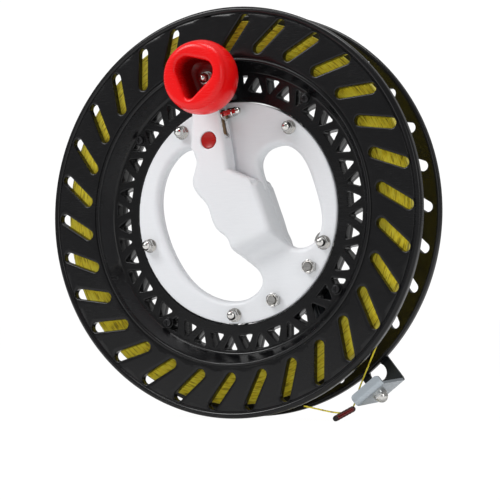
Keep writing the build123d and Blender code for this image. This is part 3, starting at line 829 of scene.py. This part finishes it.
def reelHalf(name, side):
    # side is -1 for the front half and 1 for the rear half
    look = reelLook
    face, groove, crest = side * look["face"], side * look["groove"], side * look["halfWidth"]
    inner = side * look["inner"]
    rim = look["rimRadius"]
    zoneIn, zoneOut = look["slotZone"]
    webIn, webOut = look["webZone"]
    joint = look["webJoint"]
    webFace = look["webFaces"][side]
    # slots
    slotStep = 360.0 / look["slotCount"]
    boundary = cellBoundary(zoneIn, zoneOut, (-1, 11), (-10, 2), look["slotSteps"])
    loops = roundedHole(slotOutline, boundary, face, inner, look["slotEdge"])
    cell = loopMesh("slotCell", loops)
    blankFront = loopMesh("blankFront", loops[:4], capLast=True)
    blankBack = loopMesh("blankBack", [loops[-1], loops[-2]], capLast=True)
    blank = joinMeshes("blankCell", [blankFront, blankBack])
    first = look["firstSlot"]
    parts = [
        repeated("slotRing", cell, look["slotCount"], first, look["blankSlot"]),
        repeated("blankPlace", blank, 1, first + slotStep * look["blankSlot"]),
    ]
    # bead, rim and the foot of the flange outside the slots
    outerProfile = profilePath(
        (zoneOut, face),
        (125.5, face - side * 0.15),
        (125.75, groove),
        (126.2, groove),
        ((127.7, crest), (129.55, side * 18.2), 8),
        ((129.9, side * 17.6), (rim, side * 16.8), 4),
        (rim, side * 13.9),
        ((129.4, side * 12.9), (128.2, side * 12.6), 4),
        (126.6, side * 12.6),
        (126.2, side * 12.7),
        (zoneOut, inner),
    )
    # bead, drum cone and web outside the truss
    coneTop = (94.7, side * 17.0)
    coneFoot = (look["coneFoot"], webFace)
    cone = (Vector(coneFoot) - Vector(coneTop)).normalized()
    innerProfile = profilePath(
        (zoneIn, face),
        (98.3, face - side * 0.1),
        (98.05, groove),
        (97.5, groove),
        ((96.2, crest), (95.0, side * 17.6), 8),
        coneTop,
        (coneFoot[0] - cone[0] * 1.2, webFace - cone[1] * 1.2),
        (coneFoot[0] - cone[0] * 0.3 - 0.15, webFace - cone[1] * 0.3),
        (webOut, webFace),
    )
    # the lip under the bearings' track in front, the plain one behind
    if side < 0:
        lip = [(webIn, webFace), (71.7, webFace), (71.3, webFace + 0.3), (71.2, -7.5)]
        lip += [(71.2, -6.55), (73.05, -6.55), (73.05, joint), (webIn, joint)]
    else:
        lip = [(webIn, webFace), (75.5, webFace), (75.2, webFace - 0.4), (75.2, 0.5)]
        lip += [(71.5, 0.5), (71.2, 0.2), (71.2, joint), (webIn, joint)]
    drum = look["drumInner"]
    drumBack = [(webOut, joint), (drum, joint), (drum, side * 5.6), (98.2, side * 12.4)]
    drumBack.append((zoneIn, inner))
    for profile in (outerProfile, innerProfile, lip, drumBack):
        parts.append(revolved("reelBand", profile))
    # the truss of upright and inverted triangles
    low, high = look["trussInner"], look["trussOuter"]
    up, down = look["trussUp"], look["trussDown"]
    upCorners = [onFlat(low, -up), onFlat(high, 0.0), onFlat(low, up)]
    downCorners = [onFlat(low, 0.0), onFlat(high, -down), onFlat(high, down)]
    trussStep = 360.0 / look["trussCount"]
    upBoundary = cellBoundary(webIn, webOut, (-5, 5), (-2, 2), 8)
    downBoundary = [
        turned(p, -trussStep / 2) for p in cellBoundary(webIn, webOut, (5, 10), (2, 13), 8)
    ]
    for corners, edges, first in (
        (upCorners, upBoundary, 5.0),
        (downCorners, downBoundary, 5.0 + trussStep / 2),
    ):
        outline = triangleOutline(corners, look["trussCorner"], edges)
        loops = roundedHole(outline, edges, webFace, joint, look["trussEdge"])
        cell = loopMesh("trussCell", loops)
        parts.append(repeated("trussRing", cell, look["trussCount"], first))
    return joinMeshes(name, parts, weld=0.02)


crankPlace = {"x": -5.0, "z": 82.3}


def roundedBlock(name, centre, core, radius, foot, top, edge):
    # a block with round corners and a rounded top, standing along Y from foot to top
    direction = 1 if top > foot else -1

    def outline(grow, y):
        points = []
        for sx, sz, start in ((1, 1, 0), (-1, 1, 90), (-1, -1, 180), (1, -1, 270)):
            for k in range(7):
                dx, dz = onFlat(radius + grow, start + 15 * k)
                x, z = centre[0] + sx * core[0] / 2 + dx, centre[1] + sz * core[1] / 2 + dz
                points.append((x, y, z))
        return points

    loops = [outline(0, foot), outline(0, top - direction * edge)]
    for k in range(1, 6):
        turn = pi / 2 * k / 5
        loops.append(
            outline(edge * (cos(turn) - 1), top - direction * edge * (1 - sin(turn)))
        )
    return loopMesh(name, loops, capFirst=True, capLast=True)


def bossRing(foot, top):
    bosses = []
    for angle in reelLook["screwAngles"]:
        place = onFlat(reelLook["screwCircle"], angle)
        form = roundedBlock(
            "screwBoss", place, (0.0001, 0.0001), reelLook["screwBoss"], foot, top, 0.3
        )
        bosses.append(joinMeshes("screwBoss", [form]))
    return bosses


def cutWith(mesh, cutters):
    # takes the cutters' shapes out of a mesh, exactly
    target = linked("cutTarget", mesh)
    made = []
    for number, cutter in enumerate(cutters):
        tool = linked(f"cutter{number}", cutter)
        made.append(tool)
        modifier = target.modifiers.new(f"cut{number}", "BOOLEAN")
        modifier.operation = "DIFFERENCE"
        modifier.solver = "EXACT"
        modifier.object = tool
    result = evaluated(target)
    for thing in (*made, target):
        bpy.data.objects.remove(thing)
    return result


def slantedBox(centre, along, out, sizes):
    # a plain box, used only as a cutter, with its own axes
    axes = (along, out, along.cross(out))
    form = bmesh.new()
    bmesh.ops.create_cube(form, size=1)
    for vert in form.verts:
        shifts = (axis * share * size for axis, share, size in zip(axes, vert.co, sizes))
        vert.co = sum(shifts, centre) * mm
    bmesh.ops.recalc_face_normals(form, faces=form.faces)
    mesh = bpy.data.meshes.new("cutterBox")
    form.to_mesh(mesh)
    form.free()
    return mesh


lockLook = {
    "lean": 101.3,
    "origin": (-2.9, -15.3, 49.5),
    "slot": (19.4, 3.8, 6.6),
    "slotDepth": 0.3,
    "pocket": (6.5, 3.5, 7.2),
    "pocketPlace": 24.5,
    "pocketDepth": 2.75,
}
crankBossLook = {"centre": (-7.0, 81.1), "core": (12, 7), "radius": 6.0}
crankBossLook.update({"foot": -7.1, "top": -20.0, "edge": 1.5})
lockAlong = Vector((cos(radians(lockLook["lean"])), 0, sin(radians(lockLook["lean"]))))
lockOut = Vector((lockAlong.z, 0, -lockAlong.x))


def lockCutter(place, depth, sizes):
    middle = Vector(lockLook["origin"]) + lockAlong * place - lockOut * depth
    return slantedBox(middle, lockAlong, lockOut, sizes)


frontHalf = reelHalf("reelFront", -1)
crankBoss = joinMeshes("crankBoss", [roundedBlock("crankBoss", **crankBossLook)])
pocket = lockCutter(lockLook["pocketPlace"], lockLook["pocketDepth"], lockLook["pocket"])
crankBoss = cutWith(crankBoss, [pocket])
frontMesh = joinMeshes("reelFront", [frontHalf, crankBoss, *bossRing(-1.5, -8.7)], weld=0.001)
rearHalf = reelHalf("reelRear", 1)
rearMesh = joinMeshes("reelRear", [rearHalf, *bossRing(-0.8, 5.15)], weld=0.001)
for name, mesh, node in (
    ("reelFront", frontMesh, "reel_front_half"),
    ("reelRear", rearMesh, "reel_rear_half"),
):
    addPiece(name, smoothMesh(mesh), glossBlack, "reel", [node])
print("reel made:", len(frontMesh.polygons) + len(rearMesh.polygons), "faces")

# the line wound on the drum

windingLook = {
    "strandRadius": 0.425,
    "strandSides": 6,
    "frontRadius": 121.2,
    "rearRadius": 116.4,
    "innerRadius": 99.4,
    "halfWidth": 12.3,
    "outerTurns": 28,
    "sideTurns": 25,
    "turnSteps": 110,
    "wander": 0.28,
    "wanderScale": 45,
    "core": ((93.3, -5.3), (98.6, -12.1), (120.7, -12.1), (116.0, 12.1), (98.6, 12.1), (93.3, 5.3)),
}


def strandTree():
    look = windingLook
    inputs = {"Turns": 28.0, "Start Radius": 0.12, "End Radius": 0.12, "Width": 0.03}
    inputs.update({"Start Y": -0.015, "Strand Radius": 0.0004, "Wander": 0.0003, "Seed": 3.0})
    tree, start, finished = geometryTree("woundStrand", inputs)
    spiral = addNode(tree, "GeometryNodeCurveSpiral", {"Resolution": look["turnSteps"]})
    place = addNode(tree, "GeometryNodeTransform", {"Rotation": (-pi / 2, 0, 0)})
    shift = addNode(tree, "ShaderNodeCombineXYZ")
    wander = {"Scale": look["wanderScale"], "Detail": 1}
    noise = addNode(tree, "ShaderNodeTexNoise", wander, noise_dimensions="4D")
    centred = addNode(tree, "ShaderNodeVectorMath", {1: (0.5, 0.5, 0.5)}, operation="SUBTRACT")
    sized = addNode(tree, "ShaderNodeVectorMath", operation="SCALE")
    move = addNode(tree, "GeometryNodeSetPosition")
    circle = addNode(
        tree, "GeometryNodeCurvePrimitiveCircle", {"Resolution": look["strandSides"]}
    )
    tube = addNode(tree, "GeometryNodeCurveToMesh", {"Fill Caps": True})
    connect(
        tree,
        (start, "Turns", spiral, "Rotations"),
        (start, "Start Radius", spiral, "Start Radius"),
        (start, "End Radius", spiral, "End Radius"),
        (start, "Width", spiral, "Height"),
        (spiral, 0, place, "Geometry"),
        (start, "Start Y", shift, "Y"),
        (shift, 0, place, "Translation"),
        (start, "Seed", noise, "W"),
        (noise, "Color", centred, 0),
        (centred, 0, sized, 0),
        (start, "Wander", sized, "Scale"),
        (place, 0, move, "Geometry"),
        (sized, 0, move, "Offset"),
        (move, 0, tube, "Curve"),
        (start, "Strand Radius", circle, "Radius"),
        (circle, 0, tube, "Profile Curve"),
        (tube, 0, finished, 0),
    )
    return tree


woundStrand = strandTree()


def addStrand(name, turns, startRadius, endRadius, startY, width, seed, replaced=()):
    values = {
        "Start Radius": startRadius * mm,
        "End Radius": endRadius * mm,
        "Width": width * mm,
        "Start Y": startY * mm,
        "Strand Radius": windingLook["strandRadius"] * mm,
        "Wander": windingLook["wander"] * mm,
    }
    values.update({"Turns": float(turns), "Seed": float(seed), "Material": yellowThread})
    mesh = grown("strand", bpy.data.meshes.new("strandSeed"), woundStrand, values)
    addPiece(name, smoothMesh(mesh, 60), yellowThread, "reel", replaced)


def addWinding():
    # the outer turns, the turns that show on both sides, and the core under them
    look = windingLook
    front, rear, half = look["frontRadius"], look["rearRadius"], look["halfWidth"]
    outer = (look["outerTurns"], front, rear, -half, 2 * half, 3)
    addStrand("woundOuterTurns", *outer, ["winding_layer"])
    for side, label, edge in ((-1, "Front", front), (1, "Rear", rear)):
        flat = (look["sideTurns"], look["innerRadius"], edge - 0.5, side * half, 0, 5 + side)
        addStrand(f"wound{label}Turns", *flat)
    core = joinMeshes("woundCore", [revolved("woundCore", look["core"], 180, True)])
    addPiece(
        "woundCore", smoothMesh(core), yellowThread, "reel", ["winding_core"]
    )


addWinding()
print("winding made")

# the hub shells, with the soft edges of their finger openings

hubLook = {
    "voxel": 0.62,
    "openingEdge": 4.0,
    "edgeReach": 1.45,
    "crestStep": 0.3,
    "crestTurn": 0.62,
    "plateRadius": 69.5,
    "boltCircle": 65.0,
    "boltAngles": (-162, -90, -18, 54, 126),
    "boltRoom": 3.5,
    "nutRoom": 4.0,
    "button": (-12.7, 45.7),
    "buttonRoom": 8.0,
    "smoothing": 2,
}
guideBolts = ((52.4, -34.9), (27.8, -55.6))


def crestSamples(mesh, facing):
    # points along the edge between the outer face and the openings' walls, with both normals
    look = hubLook
    form = bmesh.new()
    form.from_mesh(mesh)
    bolts = [onFlat(look["boltCircle"], a) for a in look["boltAngles"]]
    keepOut = [(*place, look["boltRoom"]) for place in bolts]
    keepOut += [(*place, look["nutRoom"]) for place in guideBolts]
    keepOut.append((*look["button"], look["buttonRoom"]))
    samples = []
    for edge in form.edges:
        if len(edge.link_faces) != 2:
            continue
        one, two = edge.link_faces
        if facing * one.normal.y < facing * two.normal.y:
            one, two = two, one
        if facing * one.normal.y < 0.5 or abs(two.normal.y) > 0.35:
            continue
        if one.normal.dot(two.normal) > look["crestTurn"]:
            continue
        middle = (edge.verts[0].co + edge.verts[1].co) / 2 / mm
        if hypot(middle.x, middle.z) > look["plateRadius"]:
            continue
        if any(hypot(middle.x - x, middle.z - z) < r for x, z, r in keepOut):
            continue
        length = edge.calc_length() / mm
        steps = max(1, int(length / look["crestStep"]))
        for k in range(steps + 1):
            spot = edge.verts[0].co.lerp(edge.verts[1].co, k / steps)
            samples.append((spot.copy(), two.normal.copy(), one.normal.copy()))
    form.free()
    return samples


def softShell(name, node, facing):
    # the solid with its openings' edges rounded and all its edges slightly softened
    copy = nodes[node].data.copy()
    form = bmesh.new()
    form.from_mesh(copy)
    bmesh.ops.remove_doubles(form, verts=form.verts, dist=0.002 * mm)
    form.to_mesh(copy)
    form.free()
    samples = crestSamples(copy, facing)
    carrier = linked(name + "Voxels", copy)
    remesh = carrier.modifiers.new("voxels", "REMESH")
    remesh.mode = "VOXEL"
    remesh.voxel_size = hubLook["voxel"] * mm
    mesh = evaluated(carrier)
    bpy.data.objects.remove(carrier)
    tree = KDTree(len(samples))
    for i, (spot, _, _) in enumerate(samples):
        tree.insert(spot, i)
    tree.balance()
    radius = hubLook["openingEdge"] * mm
    for vert in mesh.vertices:
        spot, index, distance = tree.find(vert.co)
        if distance > hubLook["edgeReach"] * radius:
            continue
        crest, wallOut, faceOut = samples[index]
        away = vert.co - crest
        a = -away.dot(wallOut)
        b = -away.dot(faceOut)
        if not (-mm < a < radius and -mm < b < radius):
            continue
        reach = hypot(radius - a, radius - b)
        if reach <= radius:
            continue
        newA = radius - (radius - a) * radius / reach
        newB = radius - (radius - b) * radius / reach
        vert.co = vert.co - wallOut * (newA - a) - faceOut * (newB - b)
    form = bmesh.new()
    form.from_mesh(mesh)
    for _ in range(hubLook["smoothing"]):
        bmesh.ops.smooth_vert(
            form, verts=form.verts, factor=0.5, use_axis_x=True, use_axis_y=True, use_axis_z=True
        )
    form.to_mesh(mesh)
    form.free()
    mesh.shade_smooth()
    print(name, "crest samples", len(samples), "faces", len(mesh.polygons))
    return mesh


frontShell = softShell("hubFront", "hub_front_shell", -1)
slotSizes = lockLook["slot"]
slotCutter = lockCutter(slotSizes[0] / 2, lockLook["slotDepth"], slotSizes)
frontShell = smoothMesh(cutWith(frontShell, [slotCutter]), 42)
rearShell = softShell("hubRear", "hub_rear_shell", 1)
for name, mesh, node in (
    ("hubFront", frontShell, "hub_front_shell"),
    ("hubRear", rearShell, "hub_rear_shell"),
):
    addPiece(name, mesh, satinWhite, "hub", [node])
print("hub made")

# the crank knob, turned outside with a three-lobed hollow

knobLook = {
    "radius": 23.2,
    "rear": -31.0,
    "front": -58.0,
    "floor": -36.7,
    "bore": 3.56,
    "lobes": (-103, 17, 137),
    "lobeReach": (10.6, 6.6, 6.6),
    "lobeRadius": (4.0, 7.4, 7.4),
    "lipEdge": 2.4,
    # painted shade in the knob's hollow: its colour, and the reach and depth over which it sets in
    "paintedHollowShade": (0.2, 0.001, 0.001),
    "hollowReach": (16.5, 14.5),
    "hollowDepth": (1.0, 12.0),
}


def knobMesh():
    look = knobLook
    count = 96
    cx, cz = crankPlace["x"], crankPlace["z"]
    angles = [360 * k / count for k in range(count)]
    rays = [onFlat(1, a) for a in angles]
    corners = [onFlat(r, a) for r, a in zip(look["lobeReach"], look["lobes"])]

    def circle(radius, y):
        return [(cx + radius * dx, y, cz + radius * dz) for dx, dz in rays]

    def lobed(grow, y):
        ring = roundedRing(corners, [radius + grow for radius in look["lobeRadius"]], 24)
        return [(cx + x, y, cz + z) for x, z in alongRays(ring, (0, 0), rays)]

    def halfway(one, two):
        return [tuple((a + b) / 2 for a, b in zip(p, q)) for p, q in zip(one, two)]

    front, floor = look["front"], look["floor"]
    profile = profilePath(
        (look["bore"], look["rear"]),
        (16.0, look["rear"]),
        ((18.2, -31.9), (19.6, -33.4), 6),
        ((look["radius"], -45.0), (21.5, -53.6), 18),
        ((20.2, -56.6), (17.2, front), 10),
    )
    loops = [circle(r, y) for r, y in profile]
    edge = look["lipEdge"]
    loops.append(halfway(loops[-1], lobed(edge, front)))
    for k in range(9):
        turn = pi / 2 * k / 8
        loops.append(lobed(edge * (1 - sin(turn)), front + edge * (1 - cos(turn))))
    loops += [lobed(-0.2, floor - 0.8), lobed(-0.9, floor)]
    bore = circle(look["bore"] + 0.3, floor)
    loops += [halfway(loops[-1], bore), bore, circle(look["bore"], floor + 0.3)]
    mesh = loopMesh("crankKnob", loops, ringed=True)
    return joinMeshes("crankKnob", [mesh])


def knobFinish():
    # the knob's red, with painted shade that darkens it towards the floor of the hollow
    look = knobLook
    material, tree, place, parts, dark = darkenedCopy(
        glossRed, "knobRed", look["paintedHollowShade"]
    )
    axis = (crankPlace["x"] * mm, 0, crankPlace["z"] * mm)
    offset = addNode(tree, "ShaderNodeVectorMath", {1: axis}, operation="SUBTRACT")
    flat = addNode(tree, "ShaderNodeVectorMath", {1: (1, 0, 1)}, operation="MULTIPLY")
    reach = addNode(tree, "ShaderNodeVectorMath", operation="LENGTH")
    within = mapRange(tree, *(r * mm for r in look["hollowReach"]))
    depth = mapRange(tree, *((look["front"] + y) * mm for y in look["hollowDepth"]))
    both = addNode(tree, "ShaderNodeMath", operation="MULTIPLY")
    connect(
        tree,
        (place, "Object", offset, 0),
        (offset, 0, flat, 0),
        (flat, 0, reach, 0),
        (reach, "Value", within, "Value"),
        (parts, "Y", depth, "Value"),
        (within, "Result", both, 0),
        (depth, "Result", both, 1),
        (both, 0, dark, "Factor"),
    )
    return material


knobRed = knobFinish()
addPiece("crankKnob", smoothMesh(knobMesh(), 50), knobRed, "knob", ["crank_knob"])
print("knob made")

# the free line and its leader, both lying still under the guide

lineLook = {
    "diameter": 1.0,
    "route": (
        (112.0, -7.0, -48.0),
        (85.3, 0.0, -101.0),
        (80.6, -1.2, -113.6),
        (79.0, -5.4, -124.8),
        (69.9, -7.0, -125.4),
        (59.6, -10.5, -123.3),
        (50.5, -14.5, -121.0),
    ),
}


def cordCurve(name, route, diameter, material):
    data = bpy.data.curves.new(name, "CURVE")
    data.dimensions = "3D"
    spline = data.splines.new("NURBS")
    spline.points.add(len(route) - 1)
    for point, place in zip(spline.points, route):
        point.co = (*(c * mm for c in place), 1)
    spline.order_u = 3
    spline.use_endpoint_u = True
    data.resolution_u = 16
    data.bevel_depth = diameter / 2 * mm
    data.bevel_resolution = 4
    data.use_fill_caps = True
    data.materials.append(material)
    return linked(name, data)


freeLine = cordCurve("freeLine", lineLook["route"], lineLook["diameter"], yellowThread)
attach(freeLine, "hub")
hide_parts("line_run")

leaderLook = {
    "middle": (74.55, -7.0, -125.55),
    "along": (0.883, 0.0, 0.469),
    "out": (0.124, -0.965, -0.232),
    "halfRun": 6.2,
    "halfWidth": 0.92,
    "cord": 0.95,
    "runSteps": 40,
    "bendSteps": 14,
    "sides": 14,
    "ply": 0.07,
    "plyPitch": 0.9,
    "knotRadius": 1.75,
    "knotHalf": 2.0,
    "knotShift": 0.3,
    "knotSides": 20,
    "knotSteps": 24,
    "whipping": 0.05,
}


def leaderMesh():
    # a flat loop of two-ply cord that ends in a whipped knot
    look = leaderLook
    middle = Vector(look["middle"])
    along = Vector(look["along"]).normalized()
    out = Vector(look["out"]).normalized()
    side = out.cross(along).normalized()
    run, width = look["halfRun"], look["halfWidth"]
    path = []
    for way in (1, -1):
        for k in range(look["runSteps"]):
            share = 2 * k / look["runSteps"]
            path.append((way * (-run + run * share), way * width, (0, way)))
        for k in range(look["bendSteps"]):
            turn = way * pi / 2 - pi * k / look["bendSteps"]
            lean = (cos(turn), sin(turn))
            path.append((way * run + width * lean[0], width * lean[1], lean))
    form = bmesh.new()
    shade = form.verts.layers.float.new("inside")

    def ring(count, spot, inside):
        verts = []
        for k in range(count):
            turn = 2 * pi * k / count
            verts.append(form.verts.new(spot(turn) * mm))
            verts[-1][shade] = inside(turn)
        return verts

    def band(here, after):
        for k in range(len(here)):
            j = (k + 1) % len(here)
            form.faces.new((here[k], here[j], after[j], after[k]))

    def depthOf(turn):
        return max(0.0, -cos(turn)) ** 0.7 + 0.25 * max(0.0, sin(turn))

    rows = []
    for row, (a, b, lean) in enumerate(path):

        def cordSpot(turn):
            radius = look["cord"] * (1 + look["ply"] * cos(2 * turn - look["plyPitch"] * row))
            outward = radius * cos(turn)
            flat = along * (a + lean[0] * outward) + side * (b + lean[1] * outward)
            return middle + flat + out * radius * sin(turn)

        rows.append(ring(look["sides"], cordSpot, depthOf))
    for row in range(len(rows)):
        band(rows[row], rows[(row + 1) % len(rows)])
    rows = []
    for row in range(look["knotSteps"] + 1):
        share = -1 + 2 * row / look["knotSteps"]
        base = look["knotRadius"] * sqrt(max(0.02, 1 - abs(share) ** 2.4))
        radius = base * (1 + look["whipping"] * cos(row * 2.4))
        place = -run - look["knotShift"] + share * look["knotHalf"]

        def knotSpot(turn):
            across = side * radius * cos(turn) + out * radius * sin(turn)
            return middle + along * place + across

        rows.append(ring(look["knotSides"], knotSpot, lambda turn: 0.0))
    for here, after in zip(rows, rows[1:]):
        band(here, after)
    form.faces.new(rows[0])
    form.faces.new(rows[-1])
    bmesh.ops.recalc_face_normals(form, faces=form.faces)
    mesh = bpy.data.meshes.new("leader")
    form.to_mesh(mesh)
    form.free()
    return mesh


leader = addPiece(
    "leader", smoothMesh(leaderMesh(), 60), darkThread, "hub", ["leader_loop"]
)
print("line and leader made")

# the two plain nuts of the guide, with turned faces and a countersunk thread

plainNut = {"flats": 8.0, "height": 4.0, "thread": 2.48, "countersink": 3.15, "seat": -9.1}


def plainNutMesh(x, z):
    look = plainNut
    half = look["flats"] / 2
    count = 48

    def ring(limit, y, hexagon=True):
        points = []
        for k in range(count):
            angle = 360 * k / count
            flat = half / cos(radians((angle + 30) % 60 - 30)) if hexagon else limit
            dx, dz = onFlat(min(flat, limit), angle)
            points.append((x + dx, y, z + dz))
        return points

    foot = look["seat"]
    top = foot - look["height"]
    thread, sunk = look["thread"], look["countersink"]
    loops = [
        ring(half + 0.1, foot),
        ring(half + 0.75, foot - 0.35),
        ring(half + 0.75, top + 0.4),
        ring(half + 0.3, top + 0.15),
        ring(half - 0.1, top),
        ring(sunk + 0.15, top, False),
        ring(sunk, top + 0.05, False),
        ring(thread + 0.05, top + 0.65, False),
        ring(thread, top + 0.8, False),
        ring(thread, foot, False),
    ]
    return joinMeshes("plainNut", [loopMesh("plainNut", loops, ringed=True)])


nuts = joinMeshes("guideNuts", [plainNutMesh(x, z) for x, z in guideBolts], weld=0.0001)
addPiece(
    "guideNuts", smoothMesh(nuts, 28), brightNickel, "hub", ["guide_hex_nuts"]
)
print("nuts made")

# finishes for the solids whose shape stays

nodeFinishes = {
    "guide_bracket": guidePlate,
    "crank_bush": zincPlate,
    "reel_screws": darkSteel,
    "lock_bar": brownBar,
    "release_button": dullRed,
}
for name, piece in nodes.items():
    material = nodeFinishes.get(name, brightNickel)
    if not piece.material_slots:
        piece.data.materials.append(material)
    for place in piece.material_slots:
        place.link = "OBJECT"
        place.material = material
print("solids finished")
